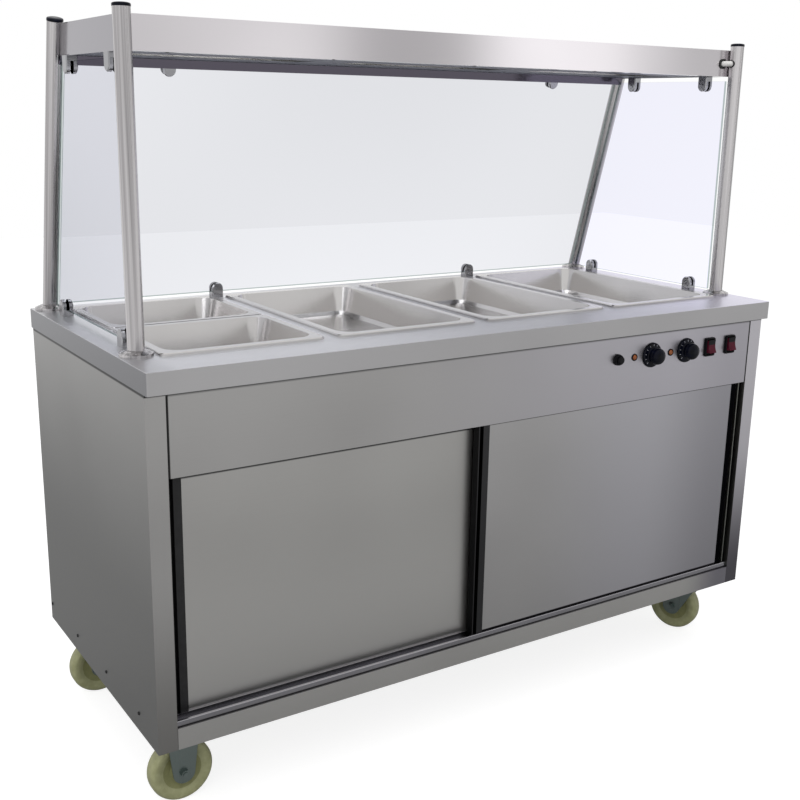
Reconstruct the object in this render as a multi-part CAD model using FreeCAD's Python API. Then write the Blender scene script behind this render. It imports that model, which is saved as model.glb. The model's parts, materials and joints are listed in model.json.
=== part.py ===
"""Mobile food service counter: heated cupboard on castors with a bain-marie top and a glazed gantry.

Millimetres, +Z up. The origin is on the floor under the middle of the overall box,
+X runs along the counter and the control panel faces -Y.
"""
import FreeCAD
import Part
import math
import os

V = FreeCAD.Vector
X_AXIS = V(1, 0, 0)
Y_AXIS = V(0, 1, 0)
Z_AXIS = V(0, 0, 1)

# Worktop and cabinet sheet metal
top_length = 1520.0
top_depth = 680.0
top_height = 860.0
top_edge = 40.0
top_corner = 4.0
top_edge_radius = 1.4
sheet = 1.5
overhang_side = 2.0
overhang_front = 17.5
overhang_back = 7.0
cabinet_bottom = 153.0
stile_width = 37.0
stile_return = 20.0
back_return = 24.0
fascia_height = 152.0
fascia_gap = 0.7
rail_height = 42.0
screw_count = 4
screw_back_room = 10.0
screw_front_room = 96.5
screw_height = 37.0
screw_radius = 4.0
screw_nose_radius = 2.6
screw_head = 2.0

# Sliding doors and their tracks
door_thickness = 18.0
door_spacing = 22.0
door_setback = 10.0
door_overlap = 116.0
door_end_gap = 8.0
door_skin = 1.2
pull_wall = 2.5
pull_groove = 9.0
pull_lip = 15.5
pull_depth = 13.0
pull_groove_radius = 3.0
track_height = 12.0
track_gap = 3.5
track_base = 2.5
track_rib_back = 3.5
track_clearance = 0.8
glide_clearance = 0.5
top_track_height = 16.0
door_top_room = 6.0

# Cupboard inside
shelf_height = 235.0
shelf_setback = 24.0
shelf_fold = 20.0
runner_size = 22.0
well_depth = 160.0
well_margin = 12.0
well_flange = 8.0
element_radius = 4.25
element_bend = 40.0
element_stand = 18.0
clip_width = 14.0
chassis_width = 70.0

# Gastronorm pans
pan_length = 530.0
pan_width = 325.0
pan_strip = 28.0
pan_front = 103.0
pan_depth = 65.0
pan_rim = 15.0
pan_rim_height = 5.0
pan_seat = 8.0
pan_wall = 1.0
pan_taper = 11.0
pan_rim_corner = 14.0
pan_basin_corner = 34.0
pan_floor_bevel = 8.0
pan_rim_bevel = 1.6
pan_gap = 2.0
bay_count = 4

# Gantry posts, canopy and glass
post_radius = 15.0
post_wall = 1.5
post_inset = 34.0
front_post_setback = 135.0
rear_post_setback = 30.0
gantry_height = 575.0
lean_degrees = 15.0
flange_radius = 30.0
flange_height = 10.0
flange_edge = 5.0
flange_neck_radius = 18.75
cap_head = 3.0
cap_edge = 1.8
cap_bevel = 4.0
cap_plug = 12.0
canopy_inset = 38.0
canopy_below_cap = 12.0
canopy_face = 58.0
canopy_lip = 15.0
canopy_return = 22.0
canopy_panel = 1.2
lamp_count = 3
lamp_end_room = 20.0
lamp_radius = 5.0
lamp_height = 22.0
window_width = 90.0
window_gap = 90.0
reflector_height = 40.0
reflector_foot = 5.0
holder_size = 14.0
glass = 6.0
glass_inset = 5.0
glass_lift = 12.0
glass_top_gap = 10.0
glass_post_gap = 3.0
clamp_width = 26.0
clamp_height = 33.0
clamp_thickness = 22.0
clamp_edge = 2.0
clamp_screw_radius = 5.0
clamp_screw_nose = 4.2
clamp_screw_head = 2.5
side_clamp_front = 65.0
side_clamp_top_rear = 50.0
side_clamp_bottom_rear = 70.0
rear_clamp_offset = 500.0
cable_radius = 6.0
cable_drop = 30.0
cable_bend = 11.0
cable_fit = 0.2
grommet_radius = 11.0
grommet_face = 2.0

# Control panel
control_height = 54.0
button_from_end = 420.0
button_radius = 8.9
button_proud = 15.0
button_bevel = 2.7
button_tail = 12.0
button_travel = 4.0
collar_radius = 11.5
collar_height = 8.0
collar_bevel = 0.8
moving_fit = 0.08
lamp_one_from_end = 370.0
lamp_two_from_end = 259.5
pilot_radius = 6.0
pilot_stem = 4.0
pilot_tail = 15.0
pilot_proud = 3.0
pilot_bevel = 2.0
knob_one_from_end = 318.0
knob_two_from_end = 211.5
knob_skirt_radius = 28.0
knob_skirt = 4.0
knob_waist_radius = 16.8
knob_grip_radius = 21.0
knob_belly = 14.0
knob_shoulder = 20.0
knob_nose_radius = 17.5
knob_nose = 26.5
knob_tip_radius = 10.0
knob_proud = 31.0
knob_gap = 0.5
spindle_radius = 3.0
spindle_reach = 18.0
rocker_one_from_end = 135.5
rocker_two_from_end = 68.5
rocker_width = 22.0
rocker_height = 30.0
rocker_proud = 9.0
rocker_dip = 3.0
rocker_tilt = 9.0
rocker_gap = 0.4
rocker_frame = 3.2
rocker_frame_proud = 2.0
rocker_frame_bevel = 1.2
rocker_depth = 26.0
body_size = 38.0
body_depth = 30.0

# Castors
castor_inset_x = 72.0
castor_inset_y = 100.0
castor_height = 160.0
castor_plate_length = 105.0
castor_plate_width = 85.0
castor_plate = 4.0
castor_cup_radius = 30.0
castor_cup_foot = 27.0
castor_cup = 10.0
castor_trail = 36.0
wheel_radius = 62.5
wheel_width = 34.0
wheel_edge = 6.0
hub_radius = 20.0
hub_nose_radius = 16.0
hub_proud = 2.0
recess_radius = 40.0
recess_depth = 6.0
axle_radius = 5.0
axle_nut_radius = 9.0
axle_nut = 7.0
axle_end = 2.0
fork_wall = 4.0
fork_side_gap = 1.0
fork_crown = 6.0
fork_top_width = 54.0
fork_foot_radius = 14.0
kingpin_radius = 8.0
trail_degrees = {"front_left": 180.0, "front_right": 109.0, "rear_left": 180.0, "rear_right": 160.0}
fixed_end = "left"

# Places that follow from the driving dimensions
half_length = top_length / 2
half_depth = top_depth / 2
cab_half = half_length - overhang_side
cab_front = -(half_depth - overhang_front)
cab_back = half_depth - overhang_back
under_top = top_height - sheet
opening_half = cab_half - stile_width
floor_z = cabinet_bottom + rail_height
fascia_z = top_height - top_edge - fascia_height
front_door_y = cab_front + door_setback
rear_door_y = front_door_y + door_spacing
track_front = cab_front + sheet + track_gap
track_back = rear_door_y + door_thickness + track_clearance + track_rib_back
door_bottom = floor_z + track_base + glide_clearance
door_top = fascia_z + sheet + top_track_height - track_base - door_top_room
door_outer = opening_half - door_end_gap
door_width = door_outer + door_overlap / 2
pull_width = pull_wall + pull_groove + pull_lip
pan_pitch = pan_width + pan_strip
pan_front_y = -half_depth + pan_front
pan_back_y = pan_front_y + pan_length
bay_centres = [(i - (bay_count - 1) / 2) * pan_pitch for i in range(bay_count)]
well_half = bay_centres[-1] + pan_width / 2 - pan_seat + well_margin
well_front = pan_front_y + pan_seat - well_margin
well_back = pan_back_y - pan_seat + well_margin
well_floor = under_top - well_depth
lean = math.radians(lean_degrees)
post_x = half_length - post_inset
front_post_y = -half_depth + front_post_setback
rear_post_y = half_depth - rear_post_setback
post_top = top_height + gantry_height
rear_post_height = gantry_height - post_radius * math.sin(lean)
canopy_top = post_top - canopy_below_cap
canopy_bottom = canopy_top - canopy_face
canopy_half = half_length - canopy_inset
canopy_front = front_post_y + post_radius
cable_x = post_x - post_radius - grommet_face - cable_bend
lamp_pitch = 2 * canopy_half / lamp_count
window_length = lamp_pitch - window_gap
lamp_length = window_length - 2 * lamp_end_room
lamp_middle_y = (canopy_front + rear_post_y - (canopy_bottom - top_height) * math.tan(lean)) / 2
side_glass_x = canopy_half - glass_inset
control_z = fascia_z + fascia_height - control_height
button_x = opening_half - button_from_end
lamp_one_x = opening_half - lamp_one_from_end
lamp_two_x = opening_half - lamp_two_from_end
knob_one_x = opening_half - knob_one_from_end
knob_two_x = opening_half - knob_two_from_end
rocker_one_x = opening_half - rocker_one_from_end
rocker_two_x = opening_half - rocker_two_from_end
fork_half = wheel_width / 2 + hub_proud + fork_side_gap
cup_bottom = castor_height - castor_plate - castor_cup
crown_bottom = cup_bottom - moving_fit - fork_crown


def rear_post_axis(z):
    """Y of the leaning posts' axis at a height."""
    return rear_post_y - (z - top_height) * math.tan(lean)


def lean_plane(z, offset):
    """Y at a height on a plane that lies parallel to the leaning posts, behind their axis by offset."""
    return rear_post_axis(z) + offset / math.cos(lean)


def box(x0, x1, y0, y1, z0, z1):
    return Part.makeBox(x1 - x0, y1 - y0, z1 - z0, V(x0, y0, z0))


def cylinder(radius, start, end):
    return Part.makeCylinder(radius, (end - start).Length, start, end - start)


def polygon_face(points):
    return Part.Face(Part.makePolygon(points + [points[0]]))


def rounded_rectangle(width, depth, radius, z):
    """Closed wire about the Z axis with arcs at its corners."""
    a = width / 2
    b = depth / 2
    s = radius * (1 - math.sqrt(0.5))
    edges = []
    for sx, sy, first in ((1, -1, "y"), (1, 1, "x"), (-1, 1, "y"), (-1, -1, "x")):
        on_side = V(sx * a, sy * (b - radius), z)
        on_end = V(sx * (a - radius), sy * b, z)
        middle = V(sx * (a - s), sy * (b - s), z)
        start, end = (on_end, on_side) if first == "y" else (on_side, on_end)
        if edges:
            edges.append(Part.LineSegment(edges[-1].Vertexes[-1].Point, start).toShape())
        edges.append(Part.Arc(start, middle, end).toShape())
    edges.append(Part.LineSegment(edges[-1].Vertexes[-1].Point, edges[0].Vertexes[0].Point).toShape())
    return Part.Wire(edges)


def rounded_prism(width, depth, radius, z0, z1):
    return Part.Face(rounded_rectangle(width, depth, radius, z0)).extrude(V(0, 0, z1 - z0))


def rounded_tub(width, depth, corner, profile):
    """Solid whose sides and round corners follow one profile of reach and height about its corner centres."""
    a = width / 2 - corner
    b = depth / 2 - corner
    low = profile[0][1]
    high = profile[-1][1]
    across = [(a + r, z) for r, z in profile] + [(-a - r, z) for r, z in profile[::-1]]
    along = [(b + r, z) for r, z in profile] + [(-b - r, z) for r, z in profile[::-1]]
    turned = polygon_face([V(0, 0, low)] + [V(r, 0, z) for r, z in profile] + [V(0, 0, high)])
    post = turned.revolve(V(0, 0, 0), Z_AXIS, 360)
    pieces = [polygon_face([V(x, -b, z) for x, z in across]).extrude(V(0, 2 * b, 0)),
              polygon_face([V(-a, y, z) for y, z in along]).extrude(V(2 * a, 0, 0))]
    pieces += [placed(post, [], V(x, y, 0)) for x in (-a, a) for y in (-b, b)]
    return pieces[0].fuse(pieces[1:]).removeSplitter()


def sheet_section(path, thickness):
    """Outline of a folded sheet: the path and its copy set off to the left, with mitred bends."""
    inner = []
    last = len(path) - 1
    for i, (u, w) in enumerate(path):
        normals = []
        for a, b in ((i - 1, i), (i, i + 1)):
            if a >= 0 and b <= last:
                du = path[b][0] - path[a][0]
                dw = path[b][1] - path[a][1]
                length = math.hypot(du, dw)
                normals.append((-dw / length, du / length))
        nu = sum(n[0] for n in normals)
        nw = sum(n[1] for n in normals)
        scale = thickness / (nu * normals[0][0] + nw * normals[0][1])
        inner.append((u + nu * scale, w + nw * scale))
    return path + inner[::-1]


def folded_along_x(path, thickness, x0, x1):
    face = polygon_face([V(x0, y, z) for y, z in sheet_section(path, thickness)])
    return face.extrude(V(x1 - x0, 0, 0))


def folded_along_z(path, thickness, z0, z1):
    face = polygon_face([V(x, y, z0) for x, y in sheet_section(path, thickness)])
    return face.extrude(V(0, 0, z1 - z0))


def mirrored(shape):
    return shape.mirror(V(0, 0, 0), X_AXIS)


def placed(shape, turns, place):
    """Copy of a shape turned about axes through the origin, in order, then moved."""
    copy = shape.copy()
    for axis, angle in turns:
        copy.rotate(V(0, 0, 0), axis, angle)
    copy.translate(place)
    return copy


def group(shapes):
    return Part.makeCompound(shapes)


def bent_rod(corners, radius, bend):
    """Round rod along straight runs that meet at right angles, with a quarter bend at each corner."""
    pieces = []
    start = corners[0]
    for before, corner, after in zip(corners, corners[1:], corners[2:]):
        along = (corner - before).normalize()
        away = (after - corner).normalize()
        entry = corner - along * bend
        pieces.append(cylinder(radius, start, entry))
        disc = Part.Face(Part.Wire([Part.Circle(entry, along, radius).toShape()]))
        pieces.append(disc.revolve(entry + away * bend, along.cross(away), 90))
        start = corner + away * bend
    pieces.append(cylinder(radius, start, corners[-1]))
    return pieces[0].fuse(pieces[1:])


def fillet_where(shape, radius, wanted):
    return shape.makeFillet(radius, [edge for edge in shape.Edges if wanted(edge.BoundBox)])


# Worktop and cabinet

def worktop():
    """Pressed top with a turned-down edge and one cut-out for each pan bay."""
    top = rounded_prism(top_length, top_depth, top_corner, top_height - top_edge, top_height)
    top = fillet_where(top, top_edge_radius, lambda b: b.ZMin > top_height - 0.01)
    inside = rounded_prism(top_length - 2 * sheet, top_depth - 2 * sheet, top_corner - sheet,
                           top_height - top_edge, under_top)
    top = top.cut(inside)
    bay = rounded_prism(pan_width - 2 * pan_seat, pan_length - 2 * pan_seat, pan_basin_corner,
                        under_top - sheet, top_height + sheet)
    for x in bay_centres:
        top = top.cut(placed(bay, [], V(x, (pan_front_y + pan_back_y) / 2, 0)))
    return top


def side_screw_places():
    first = cab_back - screw_back_room
    pitch = (first - cab_front - screw_front_room) / (screw_count - 1)
    return [(first - i * pitch, cabinet_bottom + screw_height) for i in range(screw_count)]


def side_panel_left():
    """Side sheet folded round the front as a stile and round the back as a flange."""
    path = [(-opening_half, cab_front + stile_return), (-opening_half, cab_front), (-cab_half, cab_front),
            (-cab_half, cab_back), (-cab_half + back_return, cab_back)]
    return folded_along_z(path[::-1], sheet, cabinet_bottom, under_top)


def side_screws_left():
    """Low tapered heads on the outside of the side panel."""
    return [Part.makeCone(screw_radius, screw_nose_radius, screw_head, V(-cab_half, y, z), -X_AXIS)
            for y, z in side_screw_places()]


def back_panel():
    """Closing sheet between the side flanges, with its long edges folded in."""
    width = cab_half - sheet
    inner = cab_back - sheet
    path = [(-width, inner - back_return), (-width, inner), (width, inner), (width, inner - back_return)]
    return folded_along_z(path[::-1], sheet, floor_z, under_top)


def base_tray():
    """Cupboard floor whose front fold is the bottom rail, notched round the stiles."""
    path = [(cab_front, cabinet_bottom), (cab_front, floor_z),
            (cab_back - sheet, floor_z), (cab_back - sheet, cabinet_bottom)]
    tray = folded_along_x(path[::-1], sheet, -(cab_half - sheet), cab_half - sheet)
    notch_inner = opening_half - fascia_gap
    notch = box(notch_inner, cab_half, cab_front - sheet, cab_front + stile_return + fascia_gap,
                cabinet_bottom - sheet, floor_z + sheet)
    return tray.cut(notch).cut(mirrored(notch))


def chassis_beams():
    """Two box beams under the floor that carry the castor plates."""
    beams = []
    for side in (-1, 1):
        x = side * (half_length - castor_inset_x)
        y0 = cab_front + stile_return + fascia_gap
        y1 = cab_back - 2 * sheet
        outer = box(x - chassis_width / 2, x + chassis_width / 2, y0, y1, castor_height, floor_z - sheet)
        room = chassis_width / 2 - 2 * sheet
        inner = box(x - room, x + room, y0, y1, castor_height + 2 * sheet, floor_z - 3 * sheet)
        beams.append(outer.cut(inner))
    return group(beams)


def control_fascia():
    """Control panel whose lower edge folds back as a lip under the top track, pierced for the controls."""
    half = opening_half - fascia_gap
    path = [(cab_front, under_top), (cab_front, fascia_z), (front_door_y - track_clearance, fascia_z)]
    panel = folded_along_x(path, sheet, -half, half)
    holes = [(button_x, button_radius + moving_fit), (lamp_one_x, pilot_stem), (lamp_two_x, pilot_stem),
             (knob_one_x, spindle_radius), (knob_two_x, spindle_radius)]
    for x, radius in holes:
        panel = panel.cut(cylinder(radius, V(x, cab_front, control_z), V(x, cab_front + sheet, control_z)))
    for x in (rocker_one_x, rocker_two_x):
        panel = panel.cut(placed(rocker_sleeve(), [], V(x, cab_front, control_z)))
    return panel


def track(height, floor_at_bottom):
    """Two-groove door track section, drawn with its floor at z = 0 and its ribs upwards."""
    half = opening_half - fascia_gap
    rail = box(-half, half, track_front, track_back, 0, height)
    for y in (front_door_y, rear_door_y):
        rail = rail.cut(box(-half, half, y - track_clearance, y + door_thickness + track_clearance,
                            track_base, height))
    if not floor_at_bottom:
        rail = rail.mirror(V(0, 0, height / 2), Z_AXIS)
    return rail


def bottom_door_track():
    return placed(track(track_height, True), [], V(0, 0, floor_z))


def top_door_track():
    return placed(track(top_track_height, False), [], V(0, 0, fascia_z + sheet))


def inner_shelf():
    """Loose cupboard shelf with folded front and back edges."""
    z = floor_z + shelf_height
    front = track_back + shelf_setback
    back = cab_back - 2 * sheet - back_return
    path = [(front, z - shelf_fold), (front, z), (back, z), (back, z - shelf_fold)]
    reach = cab_half - 2 * sheet
    return folded_along_x(path[::-1], sheet, -reach, reach)


def shelf_supports():
    """Angle runners on the side panels under the shelf."""
    z = floor_z + shelf_height - sheet
    wall = -(cab_half - sheet)
    front = track_back + shelf_setback + 2 * sheet
    back = cab_back - 3 * sheet - back_return
    path = [(wall, z - runner_size), (wall, z), (wall + runner_size, z)]
    face = polygon_face([V(x, front, h) for x, h in sheet_section(path[::-1], sheet)])
    runner = face.extrude(V(0, back - front, 0))
    return group([runner, mirrored(runner)])


# Well and heaters

def well_tank():
    """Open tank hung under the worktop by a flange."""
    outer = box(-well_half, well_half, well_front, well_back, well_floor, under_top)
    inner = box(-well_half + sheet, well_half - sheet, well_front + sheet, well_back - sheet,
                well_floor + sheet, under_top)
    flange = box(-well_half - well_flange, well_half + well_flange, well_front - well_flange,
                 well_back + well_flange, under_top - sheet, under_top)
    return outer.fuse(flange).cut(inner).removeSplitter()


def heater(half_x, y0, y1, floor):
    """Hairpin element standing on saddle clips."""
    z = floor + element_stand
    runs = [V(half_x, y0, z), V(-half_x, y0, z), V(-half_x, y1, z), V(half_x, y1, z)]
    tube = bent_rod(runs, element_radius, element_bend)
    half_clip = clip_width / 2
    clips = []
    for x in (-half_x / 2, half_x / 2):
        for y in (y0, y1):
            clip = box(x - half_clip, x + half_clip, y - half_clip, y + half_clip, floor, z)
            clips.append(clip.cut(tube))
    return group([tube] + clips)


def well_heater():
    margin = pan_length / 5
    return heater(well_half - margin, well_front + margin, well_back - margin, well_floor + sheet)


def cupboard_heater():
    margin = pan_length / 5
    return heater(opening_half - 2 * margin, track_back + 2 * margin, cab_back - margin, floor_z)


# Gantry

def post_tube(length, radius):
    return Part.makeCylinder(radius, length, V(0, 0, 0), Z_AXIS)


def post_cut_flat(x, y, angle, height):
    """Tube from the worktop to a height, cut flat at its foot, with the matching full round."""
    tilt = math.radians(angle)
    extra = 2 * post_radius
    length = height / math.cos(tilt) + extra
    foot = V(x, y + extra * math.sin(tilt), top_height - extra * math.cos(tilt))
    round_bar = placed(post_tube(length, post_radius), [(X_AXIS, angle)], foot)
    bore = placed(post_tube(length, post_radius - post_wall), [(X_AXIS, angle)], foot)
    reach = 2 * extra
    below = box(x - reach, x + reach, y - reach, y + reach, top_height - reach, top_height)
    return round_bar.cut(bore).cut(below), round_bar


def cable_hole(x):
    z = canopy_top - cable_drop
    return cylinder(cable_radius, V(x - 2 * post_radius, front_post_y, z), V(x, front_post_y, z))


def front_posts():
    left, _ = post_cut_flat(-post_x, front_post_y, 0.0, gantry_height)
    right, _ = post_cut_flat(post_x, front_post_y, 0.0, gantry_height)
    return group([left, right.cut(cable_hole(post_x))])


def rear_posts():
    left, _ = post_cut_flat(-post_x, rear_post_y, lean_degrees, rear_post_height)
    return group([left, mirrored(left)])


def post_flanges():
    """Turned collars round the feet of the posts."""
    collars = []
    for y, angle in ((front_post_y, 0.0), (rear_post_y, lean_degrees)):
        profile = [V(0, 0, 0), V(flange_radius, 0, 0), V(flange_radius, 0, flange_edge),
                   V(flange_neck_radius, 0, flange_height), V(0, 0, flange_height)]
        collar = polygon_face(profile).revolve(V(0, 0, 0), Z_AXIS, 360)
        collar.translate(V(-post_x, y, top_height))
        _, bar = post_cut_flat(-post_x, y, angle, gantry_height)
        collar = collar.cut(bar)
        collars += [collar, mirrored(collar)]
    return group(collars)


def post_caps():
    """Push-in plugs with low bevelled heads."""
    bore = post_radius - post_wall
    profile = [V(0, 0, cap_head), V(0, 0, -cap_plug), V(bore, 0, -cap_plug), V(bore, 0, 0),
               V(post_radius, 0, 0), V(post_radius, 0, cap_edge), V(post_radius - cap_bevel, 0, cap_head)]
    cap = polygon_face(profile).revolve(V(0, 0, 0), Z_AXIS, 360)
    rear_top = top_height + rear_post_height
    caps = []
    for y, z, angle in ((front_post_y, post_top, 0.0), (rear_post_axis(rear_top), rear_top, lean_degrees)):
        left = placed(cap, [(X_AXIS, angle)], V(-post_x, y, z))
        caps += [left, mirrored(left)]
    return group(caps)


def canopy_rear(z):
    return lean_plane(z, -post_radius)


def canopy_shell():
    """Folded hood: upright front, flat top, leaning back with a lip, closed ends."""
    front = canopy_front
    lip_z = canopy_bottom - canopy_lip
    path = [(front + canopy_return, canopy_bottom), (front, canopy_bottom), (front, canopy_top),
            (canopy_rear(canopy_top), canopy_top), (canopy_rear(lip_z), lip_z)]
    hood = folded_along_x(path[::-1], sheet, -canopy_half, canopy_half)
    end = [V(-canopy_half, front, canopy_bottom), V(-canopy_half, front, canopy_top),
           V(-canopy_half, canopy_rear(canopy_top), canopy_top),
           V(-canopy_half, canopy_rear(canopy_bottom), canopy_bottom)]
    plate = polygon_face(end).extrude(V(sheet, 0, 0))
    hood = hood.fuse([plate, mirrored(plate)]).removeSplitter()
    z = canopy_top - cable_drop
    hole = cable_radius + cable_fit
    return hood.cut(cylinder(hole, V(cable_x, front, z), V(cable_x, front + sheet, z)))


def lamp_places():
    return [(i - (lamp_count - 1) / 2) * lamp_pitch for i in range(lamp_count)]


def canopy_under_panel():
    """Closing plate that rests on the hood's front return, with a window under each lamp."""
    z = canopy_bottom + sheet
    back = canopy_rear(z) - sheet / math.cos(lean)
    top_back = canopy_rear(z + canopy_panel) - sheet / math.cos(lean)
    half = canopy_half - sheet
    section = [V(-half, canopy_front + sheet, z), V(-half, back, z),
               V(-half, top_back, z + canopy_panel), V(-half, canopy_front + sheet, z + canopy_panel)]
    plate = polygon_face(section).extrude(V(2 * half, 0, 0))
    half_width = window_width / 2
    for x in lamp_places():
        plate = plate.cut(box(x - window_length / 2, x + window_length / 2, lamp_middle_y - half_width,
                              lamp_middle_y + half_width, z, z + canopy_panel))
    return plate


def lamp_reflectors():
    """Bright troughs over the windows, closed at their ends."""
    z = canopy_bottom + sheet + canopy_panel
    wide = window_width / 2 + 2 * sheet
    narrow = window_width / 4
    troughs = []
    for x in lamp_places():
        x0 = x - window_length / 2
        x1 = x + window_length / 2
        y = lamp_middle_y
        path = [(y - wide, z), (y - wide, z + reflector_foot), (y - narrow, z + reflector_height),
                (y + narrow, z + reflector_height), (y + wide, z + reflector_foot), (y + wide, z)]
        trough = folded_along_x(path[::-1], sheet, x0, x1)
        end = polygon_face([V(x0, u, w) for u, w in path]).extrude(V(sheet, 0, 0))
        far = placed(end, [], V(x1 - x0 - sheet, 0, 0))
        troughs.append(trough.fuse([end, far]).removeSplitter())
    return group(troughs)


def heat_lamps():
    """Quartz tubes in ceramic holders that hang from the reflectors."""
    base = canopy_bottom + sheet + canopy_panel
    z = base + lamp_height
    roof = base + reflector_height - sheet
    half = holder_size / 2
    pieces = []
    for x in lamp_places():
        reach = V(lamp_length / 2, 0, 0)
        middle = V(x, lamp_middle_y, z)
        tube = cylinder(lamp_radius, middle - reach, middle + reach)
        pieces.append(tube)
        for side in (-1, 1):
            at = x + side * (lamp_length / 2 - half)
            holder = box(at - half, at + half, lamp_middle_y - half, lamp_middle_y + half, z - half, roof)
            pieces.append(holder.cut(tube))
    return group(pieces)


def side_glass_left():
    """Upright pane whose back edge follows the leaning posts."""
    z0 = top_height + glass_lift
    z1 = canopy_bottom - glass_top_gap
    y0 = front_post_y + post_radius + glass_post_gap
    x = -side_glass_x - glass / 2
    gap = post_radius + glass_post_gap
    outline = [V(x, y0, z0), V(x, lean_plane(z0, -gap), z0), V(x, lean_plane(z1, -gap), z1), V(x, y0, z1)]
    return polygon_face(outline).extrude(V(glass, 0, 0))


def rear_glass_offset():
    """Distance of the rear pane's middle from the posts' axis, so that its clamps touch the hood."""
    return clamp_thickness / 2 - post_radius


def rear_glass():
    """Leaning pane between the rear posts."""
    half = post_x - post_radius - glass_post_gap
    z0 = top_height + glass_lift
    z1 = canopy_bottom - canopy_lip + glass_top_gap
    front = rear_glass_offset() - glass / 2
    back = rear_glass_offset() + glass / 2
    rise = glass * math.sin(lean)
    outline = [V(-half, lean_plane(z0, front), z0), V(-half, lean_plane(z0 + rise, back), z0 + rise),
               V(-half, lean_plane(z1 + rise, back), z1 + rise), V(-half, lean_plane(z1, front), z1)]
    return polygon_face(outline).extrude(V(2 * half, 0, 0))


def clamp_body():
    """D-shaped clamp standing on z = 0, its rounded end up, the pane's plane at y = 0."""
    r = clamp_width / 2
    y0 = -clamp_thickness / 2
    flat = clamp_height - r
    edges = [Part.LineSegment(V(-r, y0, flat), V(-r, y0, 0)).toShape(),
             Part.LineSegment(V(-r, y0, 0), V(r, y0, 0)).toShape(),
             Part.LineSegment(V(r, y0, 0), V(r, y0, flat)).toShape(),
             Part.Arc(V(r, y0, flat), V(0, y0, clamp_height), V(-r, y0, flat)).toShape()]
    body = Part.Face(Part.Wire(edges)).extrude(V(0, clamp_thickness, 0))
    bevelled = [e for e in body.Edges if e.BoundBox.YLength < 0.01 and e.BoundBox.ZLength > clamp_edge]
    return body.makeChamfer(clamp_edge, bevelled)


def clamp_screw():
    """Tapered screw head on the clamp's front face."""
    seat = V(0, -clamp_thickness / 2, clamp_height - clamp_width / 2)
    return Part.makeCone(clamp_screw_radius, clamp_screw_nose, clamp_screw_head, seat, -Y_AXIS)


def clamp_stations():
    """Turns and place of each clamp with the pane that it grips."""
    front = front_post_y + post_radius
    stand = [(Z_AXIS, 90)]
    hang = [(Y_AXIS, 180), (Z_AXIS, 90)]
    rear_bottom_y = lean_plane(top_height, -post_radius) - side_clamp_bottom_rear
    rear_top_y = canopy_rear(canopy_bottom) - side_clamp_top_rear
    stations = []
    for y in (front + side_clamp_front, rear_bottom_y):
        stations.append((stand, V(-side_glass_x, y, top_height), "side"))
    for y in (front + side_clamp_front, rear_top_y):
        stations.append((hang, V(-side_glass_x, y, canopy_bottom), "side"))
    offset = rear_glass_offset()
    upper = canopy_bottom - canopy_lip + clamp_height * 0.55
    stations.append(([(X_AXIS, 180), (X_AXIS, lean_degrees)],
                     V(-rear_clamp_offset, lean_plane(upper, offset), upper), "rear"))
    strip_x = -(bay_centres[-1] + bay_centres[-2]) / 2
    stations.append(([], V(strip_x, lean_plane(top_height + clamp_height / 2, offset), top_height), "rear"))
    return stations


def glass_clamps():
    panes = {"side": side_glass_left(), "rear": rear_glass()}
    clamps = []
    for turns, place, pane in clamp_stations():
        clamp = placed(clamp_body(), turns, place).cut(panes[pane])
        clamps += [clamp, mirrored(clamp)]
    return group(clamps)


def clamp_screws():
    screws = []
    for turns, place, _ in clamp_stations():
        screw = placed(clamp_screw(), turns, place)
        screws += [screw, mirrored(screw)]
    return group(screws)


def gantry_cable():
    """Feed lead that leaves the hood's front face and turns into the right front post."""
    z = canopy_top - cable_drop
    runs = [V(cable_x, canopy_front + sheet, z), V(cable_x, front_post_y, z),
            V(post_x - post_radius + 2 * post_wall, front_post_y, z)]
    return bent_rod(runs, cable_radius, cable_bend)


def cable_grommets():
    """Rubber rings round the lead at the hood and at the post."""
    z = canopy_top - cable_drop
    rings = []
    hood = (V(cable_x, canopy_front - grommet_face, z), V(cable_x, canopy_front, z), grommet_radius)
    post_face = post_x - math.sqrt(post_radius ** 2 - (cable_radius + grommet_face) ** 2)
    post = (V(post_x - post_radius - grommet_face, front_post_y, z), V(post_face, front_post_y, z),
            cable_radius + grommet_face)
    for start, end, radius in (hood, post):
        rings.append(cylinder(radius, start, end).cut(cylinder(cable_radius + cable_fit, start, end)))
    _, bar = post_cut_flat(post_x, front_post_y, 0.0, gantry_height)
    return group([rings[0], rings[1].cut(bar)])


# Controls

def reset_button():
    """Push button with a bevelled cap that slides in its collar."""
    profile = [V(0, 0, -button_tail), V(button_radius, 0, -button_tail),
               V(button_radius, 0, button_proud - button_bevel),
               V(button_radius - button_bevel, 0, button_proud), V(0, 0, button_proud)]
    cap = polygon_face(profile).revolve(V(0, 0, 0), Z_AXIS, 360)
    return placed(cap, [(X_AXIS, 90)], V(button_x, cab_front, control_z))


def control_switchgear():
    """Bodies behind the panel: a sleeve for the button and a thermostat with its spindle for each knob."""
    y = cab_front + sheet
    fit = button_radius + moving_fit
    depth = button_tail + 2 * button_travel + 2 * sheet
    sleeve = cylinder(fit + 2 * sheet, V(button_x, y, control_z), V(button_x, y + depth, control_z))
    sleeve = sleeve.cut(cylinder(fit, V(button_x, y, control_z), V(button_x, y + depth - sheet, control_z)))
    bodies = [sleeve]
    for x in (knob_one_x, knob_two_x):
        half = body_size / 2
        block = box(x - half, x + half, y, y + body_depth, control_z - half, control_z + half)
        spindle = cylinder(spindle_radius, V(x, cab_front - spindle_reach, control_z), V(x, y, control_z))
        bodies.append(block.fuse(spindle))
    return group(bodies)


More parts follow.
